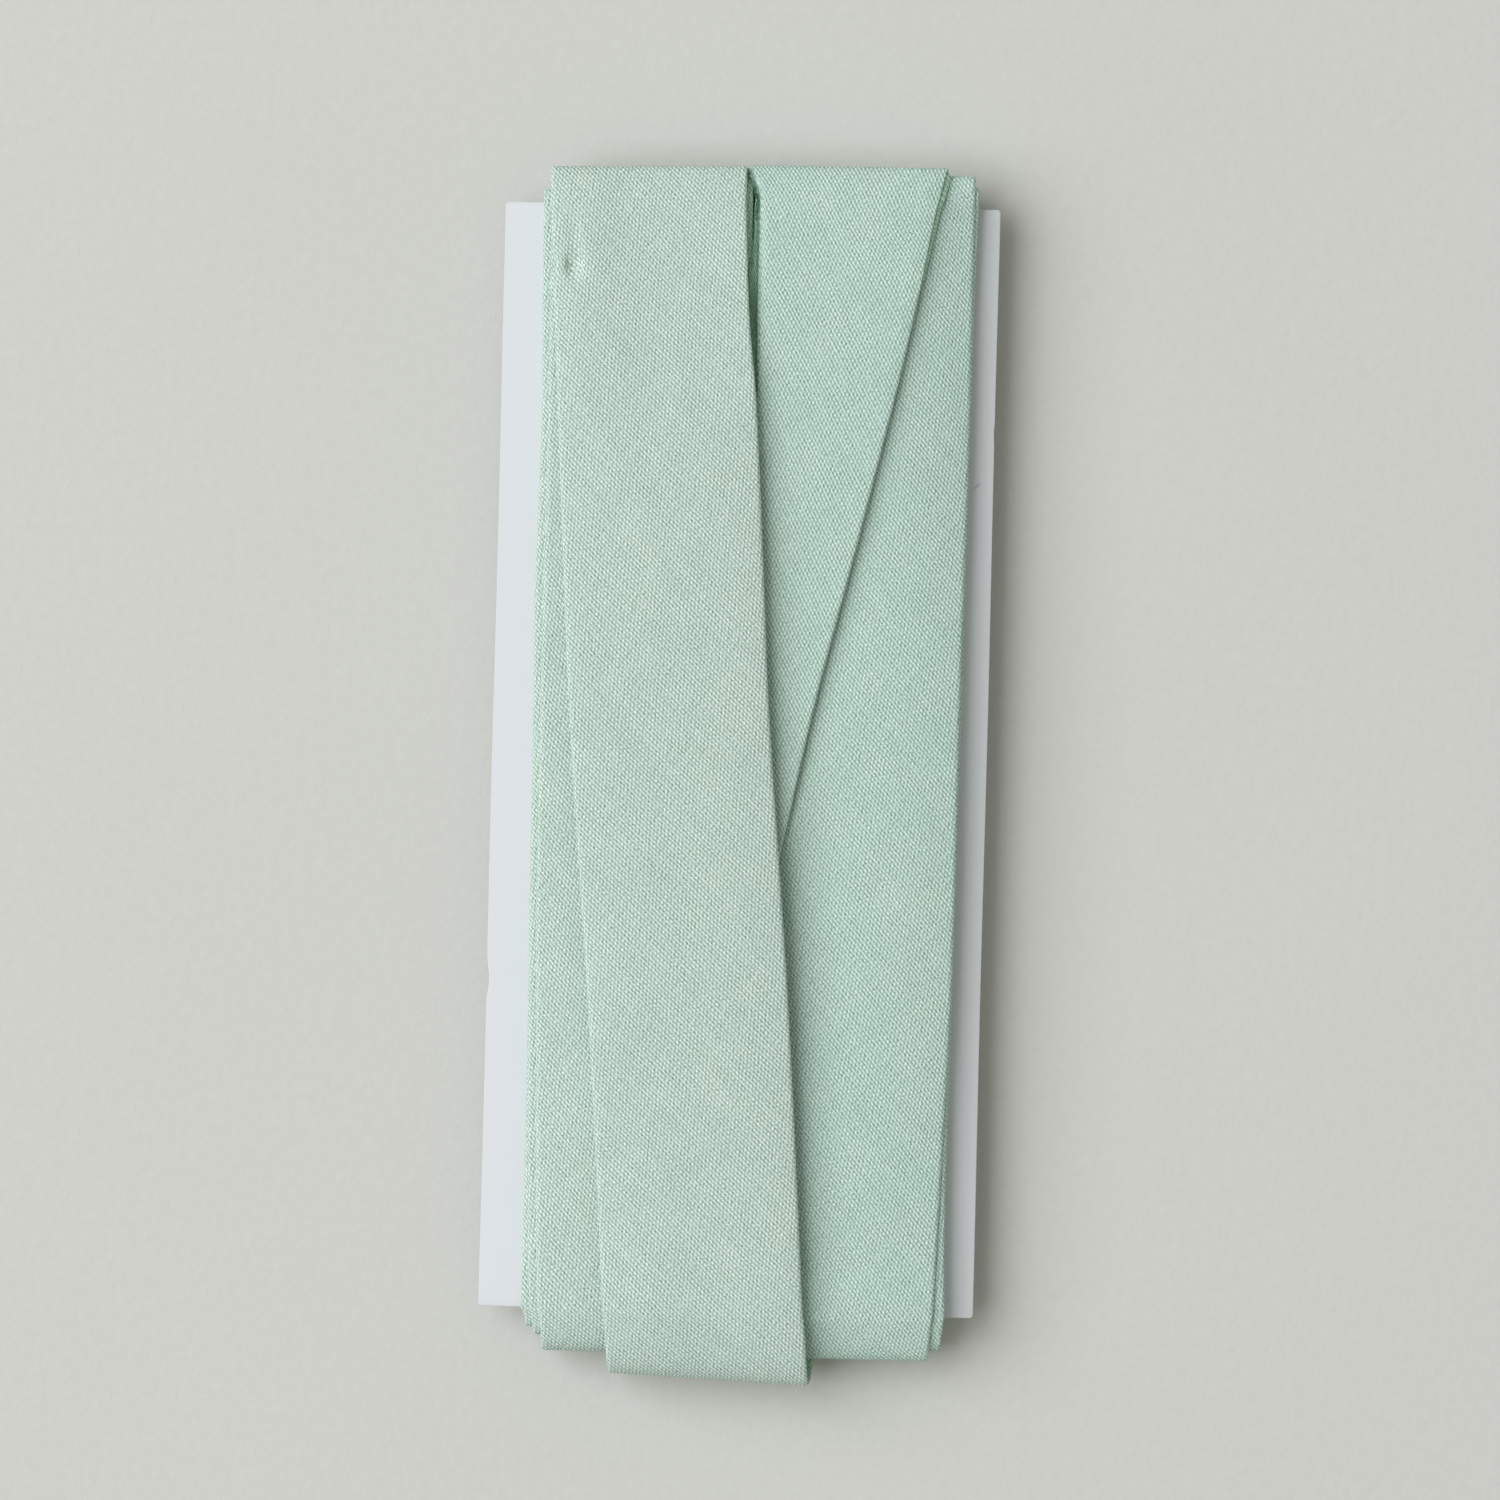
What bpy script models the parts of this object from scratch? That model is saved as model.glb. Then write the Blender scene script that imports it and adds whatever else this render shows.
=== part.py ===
"""Bias binding wound on a card.

A flat white card carries one length of folded bias tape, wound in two columns
side by side. The last turn slants across both columns, comes up the back and
over the top again, and its cut end is tucked under the front run.

X runs across the card, Y along it, Z up from the surface that it lies on.
The origin is the middle of the part's footprint.
"""

import math

import bmesh
import bpy

CARD_WIDTH = 0.0494
CARD_LENGTH = 0.1108
CARD_THICKNESS = 0.0010
CARD_CORNER = 0.0007
CARD_TOP_RISE = 0.0004

TAPE_WIDTH = 0.0200
SLOT_CLEARANCE = 0.0003
SLOT_END_CLEARANCE = 0.0004

TURN_STEPS = 7
TURN_FULLNESS = 2.2
CURVE_ROUNDNESS = 2.0 / TURN_FULLNESS

# A lap of the columns: its left edge at the card's top and bottom, how high its
# outer face lies over the card's middle in front and behind, and how far it
# stands past the card's ends.
LAP_COLUMNS = ("top_left", "bottom_left", "front", "back", "top", "bottom")
RIGHT_COLUMN = (
    (0.0018, 0.0013, 0.00140, 0.00140, 0.0007, 0.0009),
    (0.0015, 0.0008, 0.00200, 0.00200, 0.0011, 0.0016),
    (0.0020, 0.0015, 0.00260, 0.00260, 0.0016, 0.0024),
    (0.0023, 0.0018, 0.00320, 0.00320, 0.0020, 0.0034),
    (0.0021, 0.0003, 0.00385, 0.00380, 0.0024, 0.0045),
)
LEFT_COLUMN = (
    (-0.0204, -0.0201, 0.00140, 0.00150, 0.0006, 0.0007),
    (-0.0200, -0.0197, 0.00200, 0.00222, 0.0010, 0.0012),
    (-0.0206, -0.0204, 0.00260, 0.00294, 0.0014, 0.0019),
    (-0.0209, -0.0200, 0.00320, 0.00366, 0.0019, 0.0027),
    (-0.0202, -0.0192, 0.00375, 0.00435, 0.0027, 0.0042),
)

# The last turn's front run: how far up the card, its left and right edges, and
# the height of its outer face over the card's middle. It bows up off the columns.
FRONT_COLUMNS = ("along", "left", "right", "height")
FRONT_RUN = (
    (0.0554, -0.0204, -0.0007, 0.0045),
    (0.0420, -0.0195, 0.0001, 0.0057),
    (0.0340, -0.0190, 0.0010, 0.0066),
    (0.0200, -0.0180, 0.0020, 0.0072),
    (0.0058, -0.0171, 0.0028, 0.0074),
    (-0.0200, -0.0149, 0.0050, 0.0070),
    (-0.0300, -0.0140, 0.0059, 0.0068),
    (-0.0422, -0.0131, 0.0068, 0.0064),
    (-0.0554, -0.0123, 0.0078, 0.0054),
)
FRONT_DEPTH = 0.00155
FRONT_TOP_OVERHANG = 0.0038
FRONT_BOTTOM_OVERHANG = 0.0068
LOOP_DEPTH = 0.0007

# The back run carries the last turn from the middle up to the right column, and
# is what the part rests on.
BACK_LEVEL = 0.0044
BACK_BOTTOM_LEFT = -0.0112
BACK_TOP_LEFT = -0.0006
BACK_DEPTH = 0.0009
BACK_STEPS = 3

# The tucked end: how far up the card, its left and right edges, and its height.
# Its left part drops between the columns at the top and is hidden under the front
# run further down, where the slanting cut ends it.
TUCKED_COLUMNS = ("along", "left", "right", "height")
TUCKED_RUN = (
    (0.0554, 0.0005, 0.0187, 0.0045),
    (0.0430, 0.0005, 0.0161, 0.0050),
    (0.0358, 0.0004, 0.0146, 0.0052),
    (0.0290, -0.0040, 0.0129, 0.0053),
    (0.0200, -0.0092, 0.0109, 0.0053),
    (0.0058, -0.0131, 0.0074, 0.0052),
    (-0.0020, -0.0145, 0.0057, 0.0051),
    (-0.0092, -0.0080, 0.0043, 0.0050),
    (-0.0180, 0.0002, 0.0024, 0.0047),
)
TUCKED_TOP_OVERHANG = 0.0037
TUCKED_TOP_DEPTH = 0.00195
BURIED = 0.00008

# How high over the card's middle the front runs' solid reaches down. It lies
# inside the columns, so that the tape is one piece with what it lies on.
FUSED_LEVEL = 0.0035

MINT = (0.49, 0.61, 0.54, 1.0)
CARD_WHITE = (0.73, 0.755, 0.78, 1.0)

HALF_CARD = CARD_LENGTH / 2
CARD_CENTRE_Y = (FRONT_BOTTOM_OVERHANG - FRONT_TOP_OVERHANG) / 2
CARD_CENTRE_Z = BACK_LEVEL


def clear_scene():
    """Remove whatever objects the file starts with."""
    for thing in list(bpy.data.objects):
        bpy.data.objects.remove(thing, do_unlink=True)


def make_collection(name):
    """Make a collection in the scene."""
    group = bpy.data.collections.new(name)
    bpy.context.scene.collection.children.link(group)
    return group


def make_material(name, colour, roughness):
    """Make a plain surface finish."""
    material = bpy.data.materials.new(name)
    material.use_nodes = True
    shader = material.node_tree.nodes["Principled BSDF"]
    shader.inputs["Base Color"].default_value = colour
    shader.inputs["Roughness"].default_value = roughness
    shader.inputs["Metallic"].default_value = 0.0
    return material


def rows(columns, table):
    """Give a table's rows with their columns named."""
    return [dict(zip(columns, row)) for row in table]


def between(start, end, share):
    """Give the value that lies a share of the way from start to end."""
    return start + (end - start) * share


def rounded(value):
    """Make a sine or cosine follow the fuller curve of a soft turn."""
    return math.copysign(abs(value) ** CURVE_ROUNDNESS, value)


def turn(side, overhang, front, back):
    """Give the outer points of a turn about a card end, from front to back.

    Each point is its place along the card, its height over the card's middle,
    and its angle: a quarter turn in front, none at the end, less behind.
    """
    points = []
    for step in range(2 * TURN_STEPS + 1):
        angle = math.pi / 2 - math.pi * step / (2 * TURN_STEPS)
        reach = side * (HALF_CARD + overhang * rounded(math.cos(angle)))
        height = front if angle > 0 else back
        points.append((reach, height * rounded(math.sin(angle)), angle))
    return points


def push_sideways(work):
    """Give a flat side its width, and return the corners of its far side."""
    pushed = bmesh.ops.extrude_face_region(work, geom=work.faces[:])["geom"]
    return [item for item in pushed if isinstance(item, bmesh.types.BMVert)]


def finish_mesh(name, work, group):
    """Place a closed mesh about the card's middle and make its object."""
    bmesh.ops.recalc_face_normals(work, faces=work.faces[:])
    bmesh.ops.translate(work, verts=work.verts[:], vec=(0.0, CARD_CENTRE_Y, CARD_CENTRE_Z))
    mesh = bpy.data.meshes.new(name)
    work.to_mesh(mesh)
    work.free()
    thing = bpy.data.objects.new(name, mesh)
    group.objects.link(thing)
    return thing


def make_lap(name, lap, group):
    """Make one lap of a column, solid to its middle."""
    outline = turn(1, lap["top"], lap["front"], lap["back"])
    outline += turn(-1, lap["bottom"], lap["front"], lap["back"])[::-1]
    work = bmesh.new()
    corners = []
    for along, height, _ in outline:
        share = (HALF_CARD - along) / CARD_LENGTH
        left = between(lap["top_left"], lap["bottom_left"], share)
        corners.append(work.verts.new((left, along, height)))
    work.faces.new(corners)
    bmesh.ops.translate(work, verts=push_sideways(work), vec=(TAPE_WIDTH, 0.0, 0.0))
    return finish_mesh(name, work, group)


def make_strip(name, stations, group):
    """Make a strip through stations, each with its edges, outer point, angle and depth."""
    work = bmesh.new()
    bmesh.ops.create_grid(work, x_segments=len(stations) - 1, y_segments=1, size=0.5)
    near = work.verts[:]
    far = push_sideways(work)
    for corners, edge in ((near, "left"), (far, "right")):
        for corner in corners:
            station = stations[round((corner.co.x + 0.5) * (len(stations) - 1))]
            depth = station["depth"] if corner.co.y > 0 else 0.0
            angle = station["angle"]
            corner.co = (
                station[edge],
                station["along"] - depth * math.cos(angle),
                station["height"] - depth * math.sin(angle),
            )
    return finish_mesh(name, work, group)


def turn_stations(side, overhang, heights, lefts, rights, depth):
    """Give a strip's stations about a card end, front to back.

    Heights, lefts and rights are pairs: in front and behind.
    """
    stations = []
    for along, height, angle in turn(side, overhang, heights[0], heights[1]):
        share = 0.5 - angle / math.pi
        stations.append(
            {
                "along": along,
                "height": height,
                "left": between(lefts[0], lefts[1], share),
                "right": between(rights[0], rights[1], share),
                "angle": angle if side > 0 else math.pi - angle,
                "depth": depth,
            }
        )
    return stations


def front_station(row):
    """Give a strip's station on a front run, solid down to the columns that it lies on."""
    depth = row["height"] - FUSED_LEVEL
    return flat_station(row["along"], row["height"], row["left"], row["right"], depth)


def flat_station(along, height, left, right, depth):
    """Give a strip's station on a front run, or behind the card where the height is negative."""
    angle = math.copysign(math.pi / 2, height)
    return {
        "along": along,
        "height": height,
        "left": left,
        "right": right,
        "angle": angle,
        "depth": depth,
    }


def front_run():
    """Give the last turn's stations over the top left, down the front and round the bottom."""
    run = rows(FRONT_COLUMNS, FRONT_RUN)
    start, end = run[0], run[-1]
    stations = turn_stations(
        1,
        FRONT_TOP_OVERHANG,
        (start["height"], LEFT_COLUMN[-1][3] - BURIED),
        (start["left"], start["left"]),
        (start["right"], start["right"]),
        FRONT_DEPTH,
    )[::-1]
    stations += [front_station(row) for row in run[1:-1]]
    return stations + turn_stations(
        -1,
        FRONT_BOTTOM_OVERHANG,
        (end["height"], BACK_LEVEL),
        (end["left"], BACK_BOTTOM_LEFT),
        (end["right"], BACK_BOTTOM_LEFT + TAPE_WIDTH),
        LOOP_DEPTH,
    )


def back_run():
    """Give the last turn's stations up the back."""
    stations = []
    for step in range(1, BACK_STEPS):
        share = step / BACK_STEPS
        left = between(BACK_BOTTOM_LEFT, BACK_TOP_LEFT, share)
        along = between(-HALF_CARD, HALF_CARD, share)
        stations.append(flat_station(along, -BACK_LEVEL, left, left + TAPE_WIDTH, BACK_DEPTH))
    return stations


def tucked_run():
    """Give the last turn's stations over the top right and slanting down under the front run."""
    run = rows(TUCKED_COLUMNS, TUCKED_RUN)
    start = run[0]
    stations = turn_stations(
        1,
        TUCKED_TOP_OVERHANG,
        (start["height"], BACK_LEVEL),
        (start["left"], BACK_TOP_LEFT),
        (start["right"], BACK_TOP_LEFT + TAPE_WIDTH),
        TUCKED_TOP_DEPTH,
    )[::-1]
    return stations + [front_station(row) for row in run[1:]]


def make_slot(group):
    """Make the flat slot that the card fills, as a cutter."""
    bpy.ops.mesh.primitive_cube_add(size=1.0)
    slot = bpy.context.active_object
    slot.name = "slot"
    slot.dimensions = (
        CARD_WIDTH * 2,
        CARD_LENGTH + 2 * SLOT_END_CLEARANCE,
        CARD_THICKNESS + 2 * SLOT_CLEARANCE,
    )
    slot.location = (0.0, CARD_CENTRE_Y, CARD_CENTRE_Z)
    move_to(slot, group)
    return slot


def move_to(thing, group):
    """Keep an object in one collection only, with its scale applied."""
    bpy.context.view_layer.update()
    for old in list(thing.users_collection):
        old.objects.unlink(thing)
    group.objects.link(thing)
    thing.data.transform(thing.matrix_basis)
    thing.matrix_basis.identity()


def hide_guide(thing):
    """Show a cutter or a joined piece as a guide only."""
    thing.hide_render = True
    thing.display_type = "WIRE"


def join(target, other, operation):
    """Add another solid to the target, or cut it away."""
    hide_guide(other)
    change = target.modifiers.new(other.name, "BOOLEAN")
    change.operation = operation
    change.solver = "EXACT"
    change.object = other
    return change


def make_binding(parts, guides):
    """Make the winding: every lap fused, with the card's slot cut through."""
    laps = []
    for column, table in (("left", LEFT_COLUMN), ("right", RIGHT_COLUMN)):
        for count, lap in enumerate(rows(LAP_COLUMNS, table), start=1):
            laps.append(make_lap(f"{column}_lap_{count}", lap, guides))
    binding = laps[0]
    binding.name = "binding"
    guides.objects.unlink(binding)
    parts.objects.link(binding)
    for lap in laps[1:]:
        join(binding, lap, "UNION")
    last_turn = make_strip("last_turn", front_run() + back_run() + tucked_run(), guides)
    join(binding, last_turn, "UNION").use_self = True
    join(binding, make_slot(guides), "DIFFERENCE")
    binding.data.materials.append(make_material("mint cotton", MINT, 0.9))


def make_card(parts):
    """Make the flat card, a little out of square at its top, with its corners worn round."""
    work = bmesh.new()
    bmesh.ops.create_cube(work, size=1.0)
    bmesh.ops.scale(work, verts=work.verts[:], vec=(CARD_WIDTH, CARD_LENGTH, CARD_THICKNESS))
    for corner in work.verts:
        if corner.co.x < 0 and corner.co.y > 0:
            corner.co.y -= CARD_TOP_RISE
    upright = [edge for edge in work.edges if edge.verts[0].co.xy == edge.verts[1].co.xy]
    bmesh.ops.bevel(
        work,
        geom=upright,
        offset=CARD_CORNER,
        segments=3,
        profile=0.5,
        affect="EDGES",
        material=-1,
    )
    card = finish_mesh("card", work, parts)
    card.data.materials.append(make_material("white card", CARD_WHITE, 0.6))


def main():
    clear_scene()
    parts = make_collection("bias_binding_card")
    guides = make_collection("cutters")
    make_card(parts)
    make_binding(parts, guides)


main()
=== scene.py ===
"""Looks of a bias binding wound on a card.

One length of cotton bias tape is wound round a flat white card in two columns.
The tape is modelled as the folded cloth that it is: a face 20 mm wide and two
hems turned in behind it, carried turn by turn along the winding. The card is cut
from board with worn edges. Tables are in millimetres, measured from the card's
middle: X across the card, Y along it, Z up. Meshes are in metres.
"""

import bisect
import math
from functools import partial
from operator import itemgetter

import bmesh
import bpy
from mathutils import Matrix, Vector


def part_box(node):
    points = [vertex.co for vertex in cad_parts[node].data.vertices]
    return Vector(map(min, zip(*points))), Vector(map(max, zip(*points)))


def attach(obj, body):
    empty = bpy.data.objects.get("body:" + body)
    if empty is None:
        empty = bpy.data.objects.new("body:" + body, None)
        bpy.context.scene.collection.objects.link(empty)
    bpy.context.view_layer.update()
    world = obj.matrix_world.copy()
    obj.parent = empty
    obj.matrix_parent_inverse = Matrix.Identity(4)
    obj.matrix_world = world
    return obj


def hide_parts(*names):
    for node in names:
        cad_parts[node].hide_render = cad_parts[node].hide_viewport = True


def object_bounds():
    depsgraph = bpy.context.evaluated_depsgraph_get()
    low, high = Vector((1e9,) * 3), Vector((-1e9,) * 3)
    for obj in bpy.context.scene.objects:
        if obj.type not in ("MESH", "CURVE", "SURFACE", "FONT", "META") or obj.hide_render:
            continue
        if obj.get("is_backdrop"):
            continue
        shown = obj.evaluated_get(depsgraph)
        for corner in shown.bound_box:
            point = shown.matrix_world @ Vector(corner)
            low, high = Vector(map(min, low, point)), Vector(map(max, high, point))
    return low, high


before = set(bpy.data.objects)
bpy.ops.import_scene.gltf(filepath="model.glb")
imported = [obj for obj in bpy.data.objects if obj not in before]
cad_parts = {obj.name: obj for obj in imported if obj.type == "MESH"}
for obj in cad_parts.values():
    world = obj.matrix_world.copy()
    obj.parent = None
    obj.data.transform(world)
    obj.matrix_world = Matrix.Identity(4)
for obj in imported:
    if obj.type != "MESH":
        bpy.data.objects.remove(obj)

bl_info = {
    "name": "Bias Binding on a Card",
    "version": (1, 0, 0),
    "blender": (4, 5, 0),
    "location": "View3D > Sidebar > Binding",
    "description": "Winds a folded bias tape round a white card, with its stage",
    "category": "Add Mesh",
}

CAD_LOW, CAD_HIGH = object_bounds()
CARD_LOW, CARD_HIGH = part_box("card")
CARD_MIDDLE = (CARD_LOW + CARD_HIGH) / 2
CARD_SIZE = CARD_HIGH - CARD_LOW
MM = 0.001

HALF_CARD = CARD_SIZE.y / 2 / MM
HALF_WIDTH = CARD_SIZE.x / 2 / MM

# The folded tape: its width, the cloth's thickness, the space inside its folds,
# where its flat face ends, and where each hem's cut edge lies.
TAPE_WIDTH = 20.0
HALF_TAPE = TAPE_WIDTH / 2
CLOTH = 0.22
FOLD_GAP = 0.03
FOLD_OUTSIDE = CLOTH + FOLD_GAP
FOLD_LENGTH = math.pi * FOLD_OUTSIDE
FACE_EDGE = HALF_TAPE - FOLD_OUTSIDE
HEM_END = 1.0

# Its columns of points: closer together near the left edge, even over the face,
# and a last few at set distances from the right fold.
EDGE_ZONE = 3.4
EDGE_COLUMNS = 12
FACE_COLUMNS = 19
RIGHT_COLUMNS = (1.4, 0.8, 0.25, 0.0)
HEM_COLUMNS = 12
FOLD_STEPS = 4

# The small unevenness of the tape's edges: the size and length of each wave.
EDGE_WAVES = ((0.035, 7.3), (0.03, 17.9))
EDGE_PHASE = 1.7

# The length over which the tape's slant on the card is evened out along it.
SLANT_REACH = 7.0
SLANT_ROWS = 16

# The shape of a turn about a card end: how far its tip lies below the front run
# for each millimetre that it stands out, the powers of its front and back
# quarters, the share by which its front quarter droops, and the shares of the
# last turn between which the tucked end takes on its own heights and columns.
TOP_TIP_DROP = 0.62
BOTTOM_TIP_DROP = 0.82
FRONT_RISE = 0.5
FRONT_REACH = 1.74
BACK_RISE = 0.91
BACK_REACH = 0.91
STEEP_DROOP = 0.25
GENTLE_DROOP = 0.12
TUCKED_FADE = (0.46, 0.96)
TUCKED_DENSE = (0.48, 0.62)
TURN_STEPS = 14
HIDDEN_TURN_STEPS = 8
LAST_TURN_STEPS = 20

# The laps of the two columns, from the card outwards. For each: its left edge at
# the card's top and bottom, how far its turns stand past the card's ends, the
# height of its edges and how much its middle stands over them, and the spacing
# of its rows of points.
LAP_COLUMNS = (
    "top_left", "bottom_left", "top", "bottom", "edge", "crown", "spacing", "turn_steps"
)
RIGHT_COLUMN = (
    (2.3, 1.3, 0.5, 0.7, 1.15, 0.05, 12.0, HIDDEN_TURN_STEPS),
    (2.2, 1.2, 0.9, 1.4, 1.68, 0.20, 12.0, HIDDEN_TURN_STEPS),
    (2.4, 1.5, 1.4, 2.1, 2.21, 0.35, 12.0, HIDDEN_TURN_STEPS),
    (2.3, 1.8, 1.8, 3.1, 2.74, 0.52, 6.0, TURN_STEPS),
    (2.1, 0.4, 2.95, 4.2, 3.27, 0.70, 4.0, TURN_STEPS),
)
LEFT_COLUMN = (
    (-20.4, -20.1, 0.30, 0.5, 1.15, 0.05, 12.0, HIDDEN_TURN_STEPS),
    (-20.2, -19.7, 0.35, 1.0, 1.68, 0.20, 12.0, HIDDEN_TURN_STEPS),
    (-20.4, -20.4, 0.40, 1.6, 2.21, 0.35, 6.0, TURN_STEPS),
    (-20.9, -19.7, 0.45, 2.4, 2.74, 0.52, 5.0, TURN_STEPS),
    (-20.1, -18.8, 2.50, 4.0, 3.27, 0.80, 3.0, TURN_STEPS),
)

# Edges of the fronts that aren't straight: how far up the card, left and right.
NEXT_TO_TOP_LEFT = (
    (55.4, -20.95, -0.95),
    (45.0, -20.80, -0.80),
    (34.0, -20.55, -0.55),
    (24.0, -20.70, -0.70),
    (15.0, -20.85, -0.85),
    (0.0, -20.65, -0.65),
    (-20.0, -20.45, -0.45),
    (-40.0, -20.15, -0.15),
    (-50.0, -19.85, 0.15),
    (-55.4, -19.60, 0.40),
)
TOP_LEFT = (
    (55.4, -20.10, -0.10),
    (34.0, -20.00, 0.00),
    (16.0, -20.05, -0.05),
    (0.0, -19.95, 0.05),
    (-20.0, -19.85, 0.15),
    (-30.0, -19.60, 0.40),
    (-40.0, -19.35, 0.65),
    (-50.0, -19.00, 1.00),
    (-55.4, -18.75, 1.25),
)
NEXT_TO_TOP_RIGHT = (
    (55.4, 2.45, 22.50),
    (20.0, 1.90, 21.85),
    (-20.0, 1.60, 21.55),
    (-45.0, 1.70, 21.65),
    (-55.4, 1.95, 21.90),
)
TOP_RIGHT = (
    (55.4, 2.10, 22.15),
    (32.8, 2.00, 22.06),
    (5.8, 1.75, 21.83),
    (-24.0, 1.60, 21.66),
    (-42.0, 1.10, 21.16),
    (-55.4, 0.75, 20.65),
)
LAST_FRONT = (
    (55.4, -20.15, -0.69),
    (43.8, -19.50, -0.06),
    (35.8, -19.02, 0.78),
    (20.0, -18.00, 1.85),
    (5.8, -17.09, 2.80),
    (-9.2, -15.90, 4.10),
    (-24.2, -14.50, 5.40),
    (-42.2, -13.15, 6.80),
    (-55.4, -12.32, 7.70),
)
TUCKED_FRONT = (
    (55.4, -1.75, 18.36),
    (52.3, -2.35, 17.75),
    (48.8, -2.95, 17.14),
    (43.8, -3.90, 16.18),
    (35.8, -5.60, 14.52),
    (20.0, -9.35, 10.86),
    (5.8, -12.75, 7.38),
    (-9.2, -15.75, 4.32),
    (-14.0, -16.80, 3.25),
    (-26.0, -19.50, 0.55),
)

# The columns' cross-section: the power of its crown, and the share of the crown
# that is left at a turn and how far from the turn it is whole again.
LEFT_FULLNESS = 1.8
RIGHT_FULLNESS = 2.6
TURN_CROWN = 0.35
CROWN_REACH = 16.0

# How far the columns' turns lean sideways at the bottom, and how the right
# column's right side droops towards the top: by how much for the top lap, the
# share for the lowest lap and for each lap over it, from which place across, and
# where up the card.
LEFT_LEAN = 0.5
RIGHT_LEAN = -0.35
RIGHT_DROOP = 0.62
LOWEST_DROOP = 0.8
DROOP_STEP = 0.05
DROOP_FROM = -1.0
DROOP_ALONG = (0.0, 35.0)

# The back runs: the share of the crown that they keep, the level and the left
# edges of the last turn's, where the crossing comes down off the right column and
# over what length it settles, where its left edge lies at the bottom and the top,
# and how the left column's backs rise over that edge.
BACK_CROWN = 0.2
BACK_LEVEL = 4.12
BACK_BOTTOM_LEFT = -10.7
BACK_TOP_LEFT = -0.6
PILE_EDGE = (-0.4, 1.9)
SETTLE_REACH = 12.0
CROSSING_EDGE = (0.4, -20.4)
CROSSING_COVER = (-1.5, 0.8)
CROSSING_RISE = 0.30
LEFT_BACK_SHARE = 0.97

# The last turn, which slants over both columns, and the tucked end after it. A
# skew is how much further a loop reaches at its right for each millimetre across,
# a swing or lean how far the loop moves sideways.
LAST_LAP = {
    "kind": "last",
    "front": LAST_FRONT,
    "top": 3.05,
    "bottom": 6.5,
    "top_skew": 0.024,
    "bottom_skew": 0.04,
    "edge": BACK_LEVEL,
    "crown": 0.45,
    "fullness": 3.2,
    "swing": 0.0,
    "lean": 0.0,
    "at_slit": False,
    "spacing": 1.8,
    "turn_steps": LAST_TURN_STEPS,
}
TUCKED_LAP = {
    "kind": "tucked",
    "front": TUCKED_FRONT,
    "top": 3.55,
    "top_skew": 0.010,
    "swing": 0.5,
    "at_slit": False,
    "spacing": 1.4,
    "turn_steps": LAST_TURN_STEPS,
}

# How high the last turn's middle stands over the card along its front run, how
# its head sags and its right side lifts there, how its foot lifts at the right,
# and where across and along it each sets in.
LAST_HEIGHTS = (
    (55.4, 4.60),
    (45.0, 5.60),
    (30.0, 6.70),
    (12.0, 7.10),
    (-10.0, 6.75),
    (-30.0, 6.45),
    (-45.0, 6.05),
    (-55.4, 5.20),
)
HEAD_ALONG = (22.0, 46.0)
HEAD_SAG = 0.35
HEAD_SAG_ACROSS = (-8.0, 0.0)
HEAD_LIFT = 0.60
FOOT_ALONG = (-38.0, -52.0)
FOOT_LIFT = 0.25
FOOT_LIFT_ACROSS = (2.0, 10.0)

# The small dent by the last turn's left edge, its size each way, how finely the
# rows run about it, and the crease that runs up from it.
DENT_X = -17.60
DENT_ALONG = 48.5
DENT_DEPTH = 0.52
DENT_WIDTH = 0.6
DENT_LENGTH = 1.0
DENT_REACH = 4.0
DENT_SPACING = 0.4
CREASE_DEPTH = 0.16
CREASE_WIDTH = 0.55
CREASE_SLANT = 0.02
CREASE_START = 2.5
CREASE_END = (56.0, 51.0)

# The tucked end's height over the card, the little that its right side drops, and
# how it sinks at the left where the last turn covers it.
TUCKED_HEIGHTS = (
    (55.4, 4.35),
    (45.0, 4.80),
    (20.0, 5.05),
    (-5.0, 4.95),
    (-20.0, 4.60),
)
TUCKED_DROP = 0.05
TUCKED_DROP_ACROSS = (3.0, 10.0)
COVERED_SINK = 0.3
COVERED_ACROSS = (1.5, -4.5)
COVERED_ALONG = (40.0, 30.0)

# The fold by which the tucked end drops beside the left column: its place and how
# far its shoulder is rounded, down the card. Left of it the cloth lies in ripples
# in the slit: for each place beside the fold, how deep the cloth lies.
FOLD_LINE = (
    (59.4, -1.00, 0.30),
    (59.0, -0.75, 0.35),
    (58.2, -0.25, 0.45),
    (57.6, 0.10, 0.55),
    (56.8, 0.40, 0.60),
    (56.0, 0.60, 0.60),
    (53.3, 0.64, 0.60),
    (49.8, 0.63, 0.90),
    (45.8, 0.64, 1.30),
    (41.8, 0.70, 1.80),
    (36.0, 0.80, 2.20),
)
RIPPLES = (
    (0.00, 0.50),
    (-0.06, 1.60),
    (-0.12, 1.50),
    (-0.19, 0.95),
    (-0.36, 0.85),
    (-0.50, 0.98),
    (-0.58, 1.55),
    (-0.64, 1.50),
    (-0.72, 1.10),
    (-0.86, 1.02),
    (-1.00, 1.15),
    (-1.15, 1.60),
    (-1.60, 1.70),
    (-3.00, 1.20),
    (-6.00, 0.60),
)
SLIT_ALONG = (34.0, 43.0)
SHOULDER_DROP = 0.45

# How far the hem behind the fold sinks out of the way of the ripples, where along
# the card, and where beside the fold.
HEM_SINK = 1.1
HEM_SINK_ALONG = (34.0, 40.0)
HEM_SINK_BESIDE = (2.0, 1.0)

# How the columns of points crowd together at the fold: between which places
# beside it, how many, how many are left before them, and how many lie on the
# shoulder after them.
CROWD_ALONG = (33.0, 37.0)
DENSE_FROM = -1.15
DENSE_TO = 0.35
DENSE_COLUMNS = 17
COLUMNS_BEFORE = 2
SHOULDER_COLUMNS = 4
SHOULDER_REACH = 1.2
EDGE_KEEP = 0.1

# How finely the line across a row is walked: over the ripples, and elsewhere.
RIPPLE_STEP = 0.03
PLAIN_STEP = 0.5

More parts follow.
